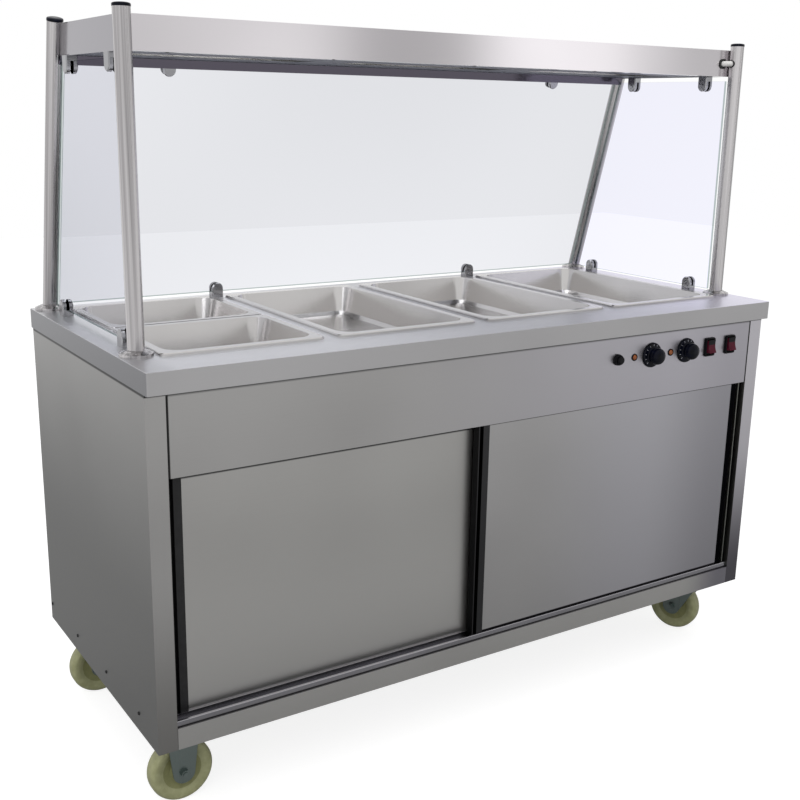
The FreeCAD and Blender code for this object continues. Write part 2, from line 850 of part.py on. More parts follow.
def pilot_lamp(x):
    """Bevelled lens with a stem through the panel."""
    profile = [V(0, 0, -pilot_tail), V(pilot_stem, 0, -pilot_tail), V(pilot_stem, 0, 0),
               V(pilot_radius, 0, 0), V(pilot_radius, 0, pilot_proud - pilot_bevel),
               V(pilot_radius - pilot_bevel, 0, pilot_proud), V(0, 0, pilot_proud)]
    lamp = polygon_face(profile).revolve(V(0, 0, 0), Z_AXIS, 360)
    return placed(lamp, [(X_AXIS, 90)], V(x, cab_front, control_z))


def indicator_lamps():
    return group([pilot_lamp(lamp_one_x), pilot_lamp(lamp_two_x)])


def thermostat_knob(x):
    """Skirted knob with a smooth round grip, bored for the spindle."""
    skirt_top = knob_gap + knob_skirt
    profile = [V(0, 0, knob_proud), V(0, 0, knob_gap), V(knob_skirt_radius, 0, knob_gap),
               V(knob_skirt_radius - knob_skirt / 2, 0, skirt_top), V(knob_waist_radius, 0, skirt_top),
               V(knob_grip_radius, 0, knob_belly), V(knob_grip_radius, 0, knob_shoulder),
               V(knob_nose_radius, 0, knob_nose), V(knob_tip_radius, 0, knob_proud)]
    knob = polygon_face(profile).revolve(V(0, 0, 0), Z_AXIS, 360)
    bore = cylinder(spindle_radius + moving_fit, V(0, 0, 0), V(0, 0, spindle_reach + knob_gap))
    return placed(knob.cut(bore), [(X_AXIS, 90)], V(x, cab_front, control_z))


def rocker_pivot_y():
    return cab_front + rocker_frame + sheet / 2


def rocker_cavity():
    """Room that the rocker needs through its whole tilt, about the middle of its frame."""
    tilt = math.radians(rocker_tilt)
    swing = rocker_proud + rocker_frame + sheet
    half_w = rocker_width / 2 + rocker_gap
    half_h = rocker_height / 2 * math.cos(tilt) + swing * math.sin(tilt) + rocker_gap
    return half_w, half_h


def rocker_sleeve():
    """Outside of the switch housing behind its frame, where it passes through the panel."""
    half_w, half_h = rocker_cavity()
    return box(-half_w - sheet, half_w + sheet, 0, rocker_depth, -half_h - sheet, half_h + sheet)


def control_bezels():
    """Button collar and the two rocker housings with their frames."""
    y = cab_front
    bore = button_radius + moving_fit
    profile = [V(bore, 0, 0), V(collar_radius, 0, 0), V(collar_radius, 0, collar_height - collar_bevel),
               V(collar_radius - collar_bevel, 0, collar_height), V(bore, 0, collar_height)]
    collar = polygon_face(profile).revolve(V(0, 0, 0), Z_AXIS, 360)
    collar = placed(collar, [(X_AXIS, 90)], V(button_x, y, control_z))
    half_w, half_h = rocker_cavity()
    plate = box(-half_w - rocker_frame, half_w + rocker_frame, -rocker_frame_proud, 0,
                -half_h - rocker_frame, half_h + rocker_frame)
    near_front = -rocker_frame_proud + rocker_frame_bevel / 2
    plate = plate.makeChamfer(rocker_frame_bevel, [e for e in plate.Edges if e.BoundBox.YMax < near_front])
    cavity = box(-half_w, half_w, -rocker_frame_proud, rocker_depth - sheet, -half_h, half_h)
    housing = plate.fuse(rocker_sleeve()).cut(cavity)
    housings = [placed(housing, [], V(x, y, control_z)) for x in (rocker_one_x, rocker_two_x)]
    return group([collar] + housings)


def rocker(x):
    """Saddle-faced rocker, standing with its upper end pressed in."""
    pivot = rocker_pivot_y()
    top = rocker_height / 2
    face = cab_front - rocker_proud
    back = pivot + rocker_frame
    section = [V(0, face, -top), V(0, face + rocker_dip, 0), V(0, face, top),
               V(0, pivot, top), V(0, back, top / 2), V(0, back, -top / 2), V(0, pivot, -top)]
    body = polygon_face(section).extrude(V(rocker_width, 0, 0))
    body.rotate(V(0, pivot, 0), X_AXIS, -rocker_tilt)
    return placed(body, [], V(x - rocker_width / 2, 0, control_z))


# Doors

def door_skins(x0, x1, y):
    """Front skin folded into a tray and a back skin that closes it."""
    a = x0 + pull_width
    b = x1 - pull_width
    tray = box(a, b, y, y + door_thickness - door_skin, door_bottom, door_top)
    tray = tray.cut(box(a + door_skin, b - door_skin, y + door_skin, y + door_thickness,
                        door_bottom + door_skin, door_top - door_skin))
    back = box(a, b, y + door_thickness - door_skin, y + door_thickness, door_bottom, door_top)
    return group([tray, back])


def pull_profile(x, y, inward):
    """Finger pull from a door's edge at x: a thin wall, a groove open to the front and a broad lip."""
    r = pull_groove_radius
    floor = y + pull_depth
    s = r * (1 - math.sqrt(0.5))
    z = door_bottom
    rise = V(0, 0, door_top - door_bottom)
    near = x + inward * pull_wall
    far = near + inward * pull_groove
    turn = inward * r
    back = inward * s
    edges = [Part.LineSegment(V(near, y, z), V(near, floor - r, z)).toShape(),
             Part.Arc(V(near, floor - r, z), V(near + back, floor - s, z),
                      V(near + turn, floor, z)).toShape(),
             Part.LineSegment(V(near + turn, floor, z), V(far - turn, floor, z)).toShape(),
             Part.Arc(V(far - turn, floor, z), V(far - back, floor - s, z),
                      V(far, floor - r, z)).toShape(),
             Part.LineSegment(V(far, floor - r, z), V(far, y, z)).toShape(),
             Part.LineSegment(V(far, y, z), V(near, y, z)).toShape()]
    end = x + inward * pull_width
    block = box(min(x, end), max(x, end), y, y + door_thickness, door_bottom, door_top)
    return block.cut(Part.Face(Part.Wire(edges)).extrude(rise))


def door_pulls(x0, x1, y):
    return group([pull_profile(x0, y, 1), pull_profile(x1, y, -1)])


# Castors

def castor_place(corner):
    side = 1 if corner.endswith("right") else -1
    end = 1 if corner.startswith("rear") else -1
    return V(side * (half_length - castor_inset_x), end * (half_depth - castor_inset_y), 0)


def fork_shape(corner):
    """Axle offset and crown height: the fixed castors have no trail and sit straight under their plates."""
    if corner.endswith(fixed_end):
        return 0.0, castor_height - castor_plate - fork_crown
    return castor_trail, crown_bottom


def castor_plates():
    """Fixing plates, with bearing cups and kingpins at the swivelling end."""
    plates = []
    for corner in trail_degrees:
        plate = rounded_prism(castor_plate_length, castor_plate_width, 2 * castor_plate,
                              castor_height - castor_plate, castor_height)
        if not corner.endswith(fixed_end):
            cup = Part.makeCone(castor_cup_foot, castor_cup_radius, castor_cup, V(0, 0, cup_bottom), Z_AXIS)
            pin = cylinder(kingpin_radius, V(0, 0, crown_bottom), V(0, 0, cup_bottom))
            plate = plate.fuse([cup, pin])
        plates.append(placed(plate, [], castor_place(corner)))
    return group(plates)


def fork_leg(trail, crown_z):
    """Flat leg that tapers from the crown to a rounded foot at the axle, in the XZ plane."""
    top = fork_top_width / 2
    axle = V(trail, 0, wheel_radius)
    corners = [V(-top, 0, crown_z), V(top, 0, crown_z)]
    tangents = []
    for corner, side in zip(corners, (1, -1)):
        gap = axle - corner
        turn = math.atan2(gap.z, gap.x)
        swing = math.acos(fork_foot_radius / gap.Length)
        angle = turn + math.pi + side * swing
        tangents.append(axle + V(math.cos(angle), 0, math.sin(angle)) * fork_foot_radius)
    low = axle - V(0, 0, fork_foot_radius)
    edges = [Part.LineSegment(corners[1], corners[0]).toShape(),
             Part.LineSegment(corners[0], tangents[0]).toShape(),
             Part.Arc(tangents[0], low, tangents[1]).toShape(),
             Part.LineSegment(tangents[1], corners[1]).toShape()]
    return Part.Face(Part.Wire(edges))


def castor_fork(corner):
    """Pressed fork: a crown, bored for the kingpin where it swivels, and two legs."""
    trail, crown_z = fork_shape(corner)
    crown = rounded_prism(fork_top_width, 2 * (fork_half + fork_wall), fork_wall, crown_z,
                          crown_z + fork_crown)
    if trail:
        pin_top = V(0, 0, crown_z + fork_crown)
        crown = crown.cut(cylinder(kingpin_radius + moving_fit, V(0, 0, crown_z), pin_top))
    leg = fork_leg(trail, crown_z)
    outer = fork_half + fork_wall
    legs = [placed(leg, [], V(0, y, 0)).extrude(V(0, fork_wall, 0)) for y in (fork_half, -outer)]
    fork = crown.fuse(legs).removeSplitter()
    axle = V(trail, 0, wheel_radius)
    fork = fork.cut(cylinder(axle_radius + moving_fit, axle - V(0, outer, 0), axle + V(0, outer, 0)))
    return placed(fork, [(Z_AXIS, trail_degrees[corner])], castor_place(corner))


def hexagon(trail, radius, y0, y1):
    turns = [math.pi * i / 3 for i in range(6)]
    points = [V(trail + radius * math.cos(t), y0, wheel_radius + radius * math.sin(t)) for t in turns]
    return polygon_face(points).extrude(V(0, y1 - y0, 0))


def castor_axle(corner):
    """Axle bolt through the fork with a head and a nut."""
    outer = fork_half + fork_wall
    end = outer + axle_nut + axle_end
    trail, _ = fork_shape(corner)
    shaft = cylinder(axle_radius, V(trail, -outer, wheel_radius), V(trail, end, wheel_radius))
    head = hexagon(trail, axle_nut_radius, -outer - axle_nut, -outer)
    nut = hexagon(trail, axle_nut_radius, outer, outer + axle_nut)
    return placed(shaft.fuse([head, nut]), [(Z_AXIS, trail_degrees[corner])], castor_place(corner))


def castor_wheel(corner):
    """Moulded wheel with a bevelled tread, a recessed web and a hub."""
    half = wheel_width / 2
    hub = half + hub_proud
    web = half - recess_depth
    side = [(axle_radius + moving_fit, hub), (hub_nose_radius, hub), (hub_radius, web),
            (recess_radius, web), (recess_radius + recess_depth, half),
            (wheel_radius - wheel_edge, half), (wheel_radius, half - wheel_edge)]
    profile = [V(r, y, 0) for r, y in side] + [V(r, -y, 0) for r, y in side[::-1]]
    wheel = polygon_face(profile).revolve(V(0, 0, 0), Y_AXIS, 360)
    wheel.translate(V(fork_shape(corner)[0], 0, wheel_radius))
    return placed(wheel, [(Z_AXIS, trail_degrees[corner])], castor_place(corner))


# Pans

def pan(length, x, y):
    """Pressed pan: turned-down rim and a tapered basin with a bevelled floor edge."""
    rim = rounded_prism(pan_width, length, pan_rim_corner, 0, pan_rim_height)
    near_top = pan_rim_height - pan_wall
    rim = rim.makeChamfer(pan_rim_bevel, [e for e in rim.Edges if e.BoundBox.ZMin > near_top])
    under = rounded_prism(pan_width - 2 * pan_wall, length - 2 * pan_wall, pan_rim_corner - pan_wall,
                          0, pan_rim_height - pan_wall)
    rim = rim.cut(under)

    def basin(inset, floor):
        mouth = pan_basin_corner - inset
        wall_foot = mouth - pan_taper
        profile = [(wall_foot - pan_floor_bevel, floor), (wall_foot, floor + pan_floor_bevel),
                   (mouth, pan_rim_height)]
        return rounded_tub(pan_width - 2 * pan_rim, length - 2 * pan_rim, pan_basin_corner, profile)

    floor = pan_rim_height - pan_depth
    shape = rim.fuse(basin(0, floor)).cut(basin(pan_wall, floor + pan_wall))
    return placed(shape, [], V(x, y, top_height))


def pan_nodes():
    """Two half pans in the left bay and a full pan in each of the others."""
    half = (pan_length - pan_gap) / 2
    pans = {"pan_half_front": pan(half, bay_centres[0], pan_front_y + half / 2),
            "pan_half_rear": pan(half, bay_centres[0], pan_back_y - half / 2)}
    names = ["pan_centre_left", "pan_centre_right", "pan_right"]
    for name, x in zip(names, bay_centres[1:]):
        pans[name] = pan(pan_length, x, (pan_front_y + pan_back_y) / 2)
    return pans


def all_nodes():
    left_panel = side_panel_left()
    screws = side_screws_left()
    glass_left = side_glass_left()
    nodes = {
        "worktop": worktop(), "side_panel_left": left_panel, "side_panel_right": mirrored(left_panel),
        "side_screws": group(screws + [mirrored(screw) for screw in screws]),
        "back_panel": back_panel(), "base_tray": base_tray(), "chassis_beams": chassis_beams(),
        "control_fascia": control_fascia(), "bottom_door_track": bottom_door_track(),
        "top_door_track": top_door_track(), "inner_shelf": inner_shelf(), "shelf_supports": shelf_supports(),
        "well_tank": well_tank(), "well_heater": well_heater(), "cupboard_heater": cupboard_heater(),
        "front_posts": front_posts(), "rear_posts": rear_posts(), "post_flanges": post_flanges(),
        "post_caps": post_caps(), "canopy_shell": canopy_shell(), "canopy_under_panel": canopy_under_panel(),
        "lamp_reflectors": lamp_reflectors(), "heat_lamps": heat_lamps(),
        "side_glass_left": glass_left, "side_glass_right": mirrored(glass_left), "rear_glass": rear_glass(),
        "glass_clamps": glass_clamps(), "clamp_screws": clamp_screws(),
        "gantry_cable": gantry_cable(), "cable_grommets": cable_grommets(),
        "control_switchgear": control_switchgear(), "control_bezels": control_bezels(),
        "indicator_lamps": indicator_lamps(), "reset_button": reset_button(),
        "knob_left": thermostat_knob(knob_one_x), "knob_right": thermostat_knob(knob_two_x),
        "rocker_left": rocker(rocker_one_x), "rocker_right": rocker(rocker_two_x),
        "left_door": door_skins(-door_outer, -door_outer + door_width, rear_door_y),
        "left_door_pulls": door_pulls(-door_outer, -door_outer + door_width, rear_door_y),
        "right_door": door_skins(door_outer - door_width, door_outer, front_door_y),
        "right_door_pulls": door_pulls(door_outer - door_width, door_outer, front_door_y),
        "castor_plates": castor_plates(),
    }
    for corner in trail_degrees:
        nodes["castor_fork_" + corner] = castor_fork(corner)
        nodes["castor_axle_" + corner] = castor_axle(corner)
        nodes["castor_wheel_" + corner] = castor_wheel(corner)
    nodes.update(pan_nodes())
    return nodes


# The knobs stand out in front of the worktop, so the whole is moved to centre its overall box
centre_shift = (knob_proud - overhang_front) / 2
os.makedirs("parts", exist_ok=True)
for name, shape in all_nodes().items():
    shape.translate(V(0, centre_shift, 0))
    shape.exportStep("parts/" + name + ".step")
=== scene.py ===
"""Mobile food service counter: finishes, small fittings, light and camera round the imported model."""

import json
import math

import bmesh
import bpy
from mathutils import Matrix, Vector


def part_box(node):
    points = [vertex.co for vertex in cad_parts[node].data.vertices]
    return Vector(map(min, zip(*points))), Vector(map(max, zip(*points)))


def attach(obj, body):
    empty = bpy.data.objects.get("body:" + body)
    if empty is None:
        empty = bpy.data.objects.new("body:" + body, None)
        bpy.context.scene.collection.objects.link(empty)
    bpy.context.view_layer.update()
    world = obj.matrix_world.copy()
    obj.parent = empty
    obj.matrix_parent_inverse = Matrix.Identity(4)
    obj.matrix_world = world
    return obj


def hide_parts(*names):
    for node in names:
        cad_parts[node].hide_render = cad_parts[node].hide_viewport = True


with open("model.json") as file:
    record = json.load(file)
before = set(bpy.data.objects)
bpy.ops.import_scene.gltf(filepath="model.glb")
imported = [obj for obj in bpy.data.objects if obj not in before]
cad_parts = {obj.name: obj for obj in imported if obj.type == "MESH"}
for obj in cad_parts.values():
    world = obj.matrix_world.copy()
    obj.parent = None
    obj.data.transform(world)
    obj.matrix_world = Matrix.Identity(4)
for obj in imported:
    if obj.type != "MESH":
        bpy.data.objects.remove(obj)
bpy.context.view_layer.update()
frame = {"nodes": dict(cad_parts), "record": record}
NODES = frame["nodes"]
RECORD = frame["record"]
BODY_OF = {node: body for body, nodes in RECORD["behaviour"]["bodies"].items() for node in nodes}
SLOT_OF = {part["node"]: part["material_slot"] for part in RECORD["subparts"]}
MM = 0.001


# Colours and nodes

def colour(code):
    """Linear RGBA of an sRGB hex value."""
    parts = [int(code[i:i + 2], 16) / 255 for i in (1, 3, 5)]
    return [p / 12.92 if p <= 0.04045 else ((p + 0.055) / 1.055) ** 2.4 for p in parts] + [1.0]


def add(tree, kind, inputs, stops=(), **settings):
    """Adds a node, sets its properties and a ramp's colour stops, and sets or links its inputs."""
    made = tree.nodes.new(kind)
    for key, value in settings.items():
        setattr(made, key, value)
    if stops:
        elements = made.color_ramp.elements
        while len(elements) < len(stops):
            elements.new(0.5)
        for element, (place, code) in zip(elements, stops):
            element.position = place
            element.color = colour(code)
    for key, value in inputs.items():
        if isinstance(value, bpy.types.NodeSocket):
            tree.links.new(value, made.inputs[key])
        else:
            made.inputs[key].default_value = value
    return made


def material(name, **values):
    """A material with constant values on its Principled shader; returns it, its tree and the shader."""
    made = bpy.data.materials.new(name)
    made.use_nodes = True
    tree = made.node_tree
    shader = tree.nodes["Principled BSDF"]
    for key, value in values.items():
        shader.inputs[key.replace("_", " ")].default_value = value
    return made, tree, shader


def facing(tree):
    """How squarely each face looks along X, Y and Z, either way."""
    look = add(tree, "ShaderNodeNewGeometry", {}).outputs["Normal"]
    look = add(tree, "ShaderNodeVectorMath", {0: look}, operation="ABSOLUTE").outputs[0]
    return add(tree, "ShaderNodeSeparateXYZ", {0: look}).outputs


# Finishes

NOISE_LOW, NOISE_HIGH = 0.3, 0.7  # most of a noise node's values lie between these
SCRATCH_LENGTH = 150  # how many times longer than wide a scratch is
WIPED_PATCH_MM = 320
MOULD_GRAIN_MM = 0.8
SHEEN_PATCH_MM = 14
GLASS_SMEAR_MM = 900
FACING_AXIS = (0.4, 0.95)  # size of the normal along an axis, from none of a tone to all of it
PANE_FACE = (0.5, 0.9)
GROUND_EDGE = "#84938e"


def surface(tree, shader, tone, sheen, rough, height, bump, depth_mm):
    """Gives the shader a tone, a roughness that follows the sheen pattern, and a fine relief."""
    gloss = add(tree, "ShaderNodeMapRange", {
        "Value": sheen, "From Min": NOISE_LOW, "From Max": NOISE_HIGH,
        "To Min": rough[0], "To Max": rough[1]})
    relief = add(tree, "ShaderNodeBump", {
        "Height": height, "Strength": bump, "Distance": depth_mm * MM})
    tree.links.new(tone, shader.inputs["Base Color"])
    tree.links.new(gloss.outputs[0], shader.inputs["Roughness"])
    tree.links.new(relief.outputs[0], shader.inputs["Normal"])


def brushed_steel(name, dark, light, grain_axis, rough=(0.33, 0.40), streak_mm=0.7,
                  streak_share=0.25, bump=0.004, lean=0.0, others=(), edge="#ffffff"):
    """Stainless sheet with a ground satin finish: fine parallel scratches, a soft broad highlight
    and faint clouds where the sheet has been wiped. The real scratches are about 0.1 mm apart, so
    they are drawn coarser to show. Painted tones of light and shade cover the faces that look
    along an axis, come in over a span of mm along it, or both. Edge is the tone at a glancing
    angle, and lean tips the grain about X by an angle in degrees."""
    made, tree, shader = material(name, Metallic=1.0, Specular_Tint=colour(edge))
    place = add(tree, "ShaderNodeTexCoord", {}).outputs["Object"]
    stretch = [1 / (streak_mm * MM)] * 3
    stretch["XYZ".index(grain_axis)] /= SCRATCH_LENGTH
    along = add(tree, "ShaderNodeMapping", {
        "Vector": place, "Rotation": (math.radians(lean), 0, 0)}).outputs[0]
    along = add(tree, "ShaderNodeMapping", {"Vector": along, "Scale": stretch}).outputs[0]
    scratch = add(tree, "ShaderNodeTexNoise", {
        "Vector": along, "Scale": 1.0, "Detail": 2.0, "Roughness": 0.6}).outputs[0]
    cloud = add(tree, "ShaderNodeTexNoise", {
        "Vector": place, "Scale": 1 / (WIPED_PATCH_MM * MM), "Detail": 1.0}).outputs[0]
    mixed = add(tree, "ShaderNodeMix", {"Factor": streak_share, "A": cloud, "B": scratch},
                data_type="FLOAT").outputs[0]
    tone = add(tree, "ShaderNodeValToRGB", {"Fac": mixed},
               stops=[(NOISE_LOW, dark), (NOISE_HIGH, light)]).outputs["Color"]
    spot = add(tree, "ShaderNodeSeparateXYZ", {0: place}).outputs
    look = facing(tree)
    for code, *wheres in others:
        share = 1.0
        for axis, *span in wheres:
            start, end = [mm * MM for mm in span] or FACING_AXIS
            part = add(tree, "ShaderNodeMapRange", {
                "Value": (spot if span else look)[axis], "From Min": start, "From Max": end},
                interpolation_type="SMOOTHSTEP").outputs[0]
            share = add(tree, "ShaderNodeMath", {0: share, 1: part}, operation="MULTIPLY").outputs[0]
        tone = add(tree, "ShaderNodeMix", {"Factor": share, "A": tone, "B": colour(code)},
                   data_type="RGBA").outputs["Result"]
    surface(tree, shader, tone, scratch, rough, scratch, bump, 0.2)
    return made


def moulded_plastic(name, dark, light, rough, **values):
    """Injection-moulded plastic: even colour with a fine spark-eroded grain and slight unevenness
    in its sheen."""
    made, tree, shader = material(name, IOR=1.49, **values)
    place = add(tree, "ShaderNodeTexCoord", {}).outputs["Object"]
    grain = add(tree, "ShaderNodeTexNoise", {
        "Vector": place, "Scale": 1 / (MOULD_GRAIN_MM * MM), "Detail": 2.0}).outputs[0]
    cloud = add(tree, "ShaderNodeTexNoise", {
        "Vector": place, "Scale": 1 / (SHEEN_PATCH_MM * MM), "Detail": 3.0}).outputs[0]
    tone = add(tree, "ShaderNodeValToRGB", {"Fac": cloud},
               stops=[(NOISE_LOW, dark), (NOISE_HIGH, light)]).outputs["Color"]
    surface(tree, shader, tone, cloud, rough, grain, 0.05, 0.1)
    return made


def toughened_glass(name, tint, face=None):
    """Float glass, toughened: nearly clear, with a faint grey body that shows as a darker tone on
    white, a very slow change of tone where it has been wiped, and ground edges that look green.
    Face is the axis that the pane looks along. Panes this thin barely bend light, so IOR is 1."""
    made, tree, shader = material(name, IOR=1.0, Roughness=0.0, Transmission_Weight=1.0)
    place = add(tree, "ShaderNodeTexCoord", {}).outputs["Object"]
    smear = add(tree, "ShaderNodeTexNoise", {
        "Vector": place, "Scale": 1 / (GLASS_SMEAR_MM * MM), "Detail": 0.0}).outputs[0]
    tone = add(tree, "ShaderNodeValToRGB", {"Fac": smear},
               stops=[(0.25, tint[0]), (0.75, tint[1])]).outputs["Color"]
    if face:
        edge = add(tree, "ShaderNodeMapRange", {
            "Value": facing(tree)[face], "From Min": PANE_FACE[0], "From Max": PANE_FACE[1],
            "To Min": 1.0, "To Max": 0.0}).outputs[0]
        tone = add(tree, "ShaderNodeMix", {"Factor": edge, "A": tone, "B": colour(GROUND_EDGE)},
                   data_type="RGBA").outputs["Result"]
    tree.links.new(tone, shader.inputs["Base Color"])
    return made


SHEET = ("#929190", "#9e9d9c")
# Dark and light tones of the posts' painted reflection bands
TUBE_BAND_TONES = ("#858384", "#d0cdce")
# Dark lines of painted shade in the narrow gaps round the worktop, fascia and doors
SEAM_SHADE = "#262626"
DOOR_SEAM_SHADE = "#3c3c3c"
UNDER_WORKTOP = ("Z", 812.5, 815.5)
# Broad upright streaks that paint reflection bands on the polished posts
TUBE_PAINTED_BANDS = {"rough": (0.2, 0.28), "streak_mm": 7.0, "streak_share": 0.9}
EVEN_SHEET = {"streak_share": 0.0, "bump": 0.0}
POST_LEAN = 15.0

FINISH = {
    "satin_stainless": brushed_steel("brushed_stainless_sheet", *SHEET, "X"),
    # Painted reflection of the white glass and hood lightens the top unevenly along its front; painted
    # shade darkens its ends
    "worktop_stainless": brushed_steel("brushed_stainless_worktop", "#9b9a9b", "#a5a4a5", "X", others=[
        ("#e1e1e4", ("Z",)), ("#d0d0d3", ("Z",), ("X", -690, -730)),
        ("#bebec3", ("Z",), ("X", -480, 60)), ("#e0ddec", ("Z",), ("X", 350, 760)),
        ("#828285", ("X",))]),
    # Upright posts carry painted reflection bands
    "post_stainless": brushed_steel("polished_stainless_tube", *TUBE_BAND_TONES, "Z", **TUBE_PAINTED_BANDS),
    "pan_stainless": brushed_steel("drawn_stainless_pan", "#bfbdbc", "#cfcdcc", "Y", rough=(0.2, 0.22),
                                   streak_share=0.1, bump=0.002),
    "inner_steel": brushed_steel("mill_finish_steel", "#777776", "#8a8988", "X", rough=(0.4, 0.5)),
    # A painted highlight along the rib's top edge and a line of painted shade where the track meets the
    # rail
    "track_aluminium": brushed_steel("extruded_aluminium", "#7b7a7e", "#929196", "X", rough=(0.2, 0.28),
                                     others=[("#d8d6dc", ("Z", 205.2, 206.4)),
                                             ("#29272c", ("Z", 197.6, 196.2))]),
    "reflector": brushed_steel("polished_reflector_sheet", "#c5c4c2", "#d8d7d5", "X",
                               rough=(0.08, 0.14)),
    "pull_profile": moulded_plastic("anodised_dark_profile", "#1c1c1d", "#272728", (0.35, 0.45),
                                    Specular_IOR_Level=0.25),
    "black_plastic": moulded_plastic("black_abs", "#08080b", "#0f0f14", (0.3, 0.4),
                                     Specular_IOR_Level=0.12),
    "knob_plastic": moulded_plastic("black_phenolic", "#05060d", "#0d101f", (0.14, 0.2),
                                    Specular_IOR_Level=0.1),
    "red_lens": moulded_plastic("red_polycarbonate", "#451021", "#5b1a2c", (0.12, 0.2),
                                Specular_IOR_Level=0.12),
    "amber_lens": moulded_plastic("amber_polycarbonate", "#8a481d", "#a65d29", (0.12, 0.2),
                                  Specular_IOR_Level=0.3),
    "clear_glass": toughened_glass("toughened_glass", ("#e6e7ea", "#f0f0f4"), "X"),
    "quartz": toughened_glass("quartz_tube", ("#e3e0da", "#efece6")),
    "clamp_chrome": brushed_steel("chromed_zinc_casting", "#8f8f92", "#a7a7aa", "X", rough=(0.12, 0.2)),
    "screw_dark": brushed_steel("blackened_screw_steel", "#232324", "#303031", "X", rough=(0.35, 0.45)),
    # Zinc plating made darker as painted shade, for castors that stand under the cabinet
    "zinc": brushed_steel("zinc_plated_pressing", "#69736f", "#7a8482", "Z", rough=(0.25, 0.38),
                          streak_mm=9.0),
    "wheel_nylon": moulded_plastic("cast_nylon_wheel", "#96976f", "#aaab83", (0.42, 0.55)),
    "white_cable": moulded_plastic("white_pvc_lead", "#d9d8d6", "#e6e5e3", (0.4, 0.5)),
    "grommet_rubber": moulded_plastic("black_rubber", "#1b1b1c", "#262627", (0.55, 0.7)),
    "element_sheath": brushed_steel("oxidised_element_sheath", "#4a4642", "#625d57", "X",
                                    rough=(0.4, 0.55)),
}
NODE_FINISH = {
    # Painted shade darkens sides and stiles downwards and draws a dark line under the worktop;
    # the right stile is lighter and a little violet above, a painted reflection
    "side_panel_left": brushed_steel("brushed_stainless_left_side", *SHEET, "X", others=[
        ("#70706f", ("X",), ("Z", 830, 380)), ("#7f7e7c", ("Y",), ("Z", 500, 150)),
        (SEAM_SHADE, UNDER_WORKTOP)]),
    "side_panel_right": brushed_steel("brushed_stainless_right_side", *SHEET, "X", others=[
        ("#70706f", ("X",), ("Z", 830, 380)), ("#adabb0", ("Y",)),
        ("#545258", ("Y",), ("Z", 520, 180)), (SEAM_SHADE, UNDER_WORKTOP)]),
    # Painted shade draws a dark line under the fascia on both doors, and another over the track on the
    # front one. Painted reflection lightens the left door lower down and the right door in violet from
    # its middle, and painted shade darkens the right door's right end
    "left_door": brushed_steel("brushed_stainless_left_door", "#989795", "#a2a19f", "X", others=[
        ("#a9a8a6", ("Z", 560, 300)), (DOOR_SEAM_SHADE, ("Z", 652, 655))]),
    "right_door": brushed_steel("brushed_stainless_right_door", "#979696", "#a1a0a0", "X", others=[
        ("#a4a3a8", ("X", 50, 420)), ("#8d8c91", ("X", 420, 680)), (DOOR_SEAM_SHADE, ("Z", 662, 664.5)),
        ("#0e0e10", ("Z", 211.5, 210))]),
    # Dark anodised profile with a painted highlight on its outer groove's far wall, and painted shade
    # darkening it towards the outer edge
    "right_door_pulls": brushed_steel("anodised_right_profile", "#333334", "#3c3c3d", "Z",
                                      edge="#3c3c3d", others=[("#131315", ("X", 600, 690)),
                                                              ("#9fa09a", ("X", 706, 709))]),
    # Painted shade darkens the rail towards its right end
    "base_tray": brushed_steel("brushed_stainless_rail", "#a3a2a0", "#adacaa", "X", others=[
        ("#7a787f", ("X", 560, 700))]),
    # Leaning rear posts carry painted reflection bands
    "rear_posts": brushed_steel("polished_leaning_tube", *TUBE_BAND_TONES, "Z", lean=-POST_LEAN, **TUBE_PAINTED_BANDS),
    # The hood is ground finer, so soft panels show in it. Its base is lighter than the other sheets, a
    # painted reflection, and painted shade darkens its ends, its upward and downward faces and most of
    # all its rear lip
    "canopy_shell": brushed_steel("brushed_stainless_hood", "#d3cfd2", "#dbd7da", "X",
                                  rough=(0.115, 0.116), **EVEN_SHEET, others=[
                                      ("#98969b", ("X",)), ("#a5a3a6", ("Z",)),
                                      ("#5a5660", ("Y", 100, 101), ("Z", 1367.5, 1366.5))]),
    # Painted shade: the closing plate under the hood is darker than the hood, most of all at a glancing
    # angle
    "canopy_under_panel": brushed_steel("brushed_stainless_closing_plate", "#84868b", "#8e9095", "X",
                                        rough=(0.36, 0.361), edge="#9a9aa0", **EVEN_SHEET),
    "rear_glass": toughened_glass("toughened_rear_glass", ("#e2e3e7", "#ecedf1"), "Y"),
    "side_glass_right": toughened_glass("toughened_right_glass", ("#efeffa", "#f5f5ff"), "X"),
    # The fascia turns lighter and a little violet to the right, a painted reflection, then a little
    # darker at its right end; painted shade draws dark lines at its top and both ends
    "control_fascia": brushed_steel("brushed_stainless_fascia", *SHEET, "X", others=[
        ("#a4a2a8", ("X", -400, 480)), ("#99979d", ("X", 480, 700)), ("#4e4e4e", ("Z", 810, 815)),
        (SEAM_SHADE, ("X", 715.8, 717.8)), (SEAM_SHADE, ("X", -715.8, -717.8))]),
}
# Painted shade: a darker copy of the wheel's nylon for the recessed web
WEB_NYLON_SHADE = moulded_plastic("cast_nylon_web_painted_shade", "#7b7c51", "#8c8d61", (0.45, 0.6))
TICK_PAINT = moulded_plastic("white_tick_paint", "#a6a6ae", "#b6b6be", (0.5, 0.6))

for node, slot in SLOT_OF.items():
    shape = NODES[node].data
    shape.materials.clear()
    shape.materials.append(NODE_FINISH[node] if node in NODE_FINISH else FINISH[slot])


# Mesh tools, in mm

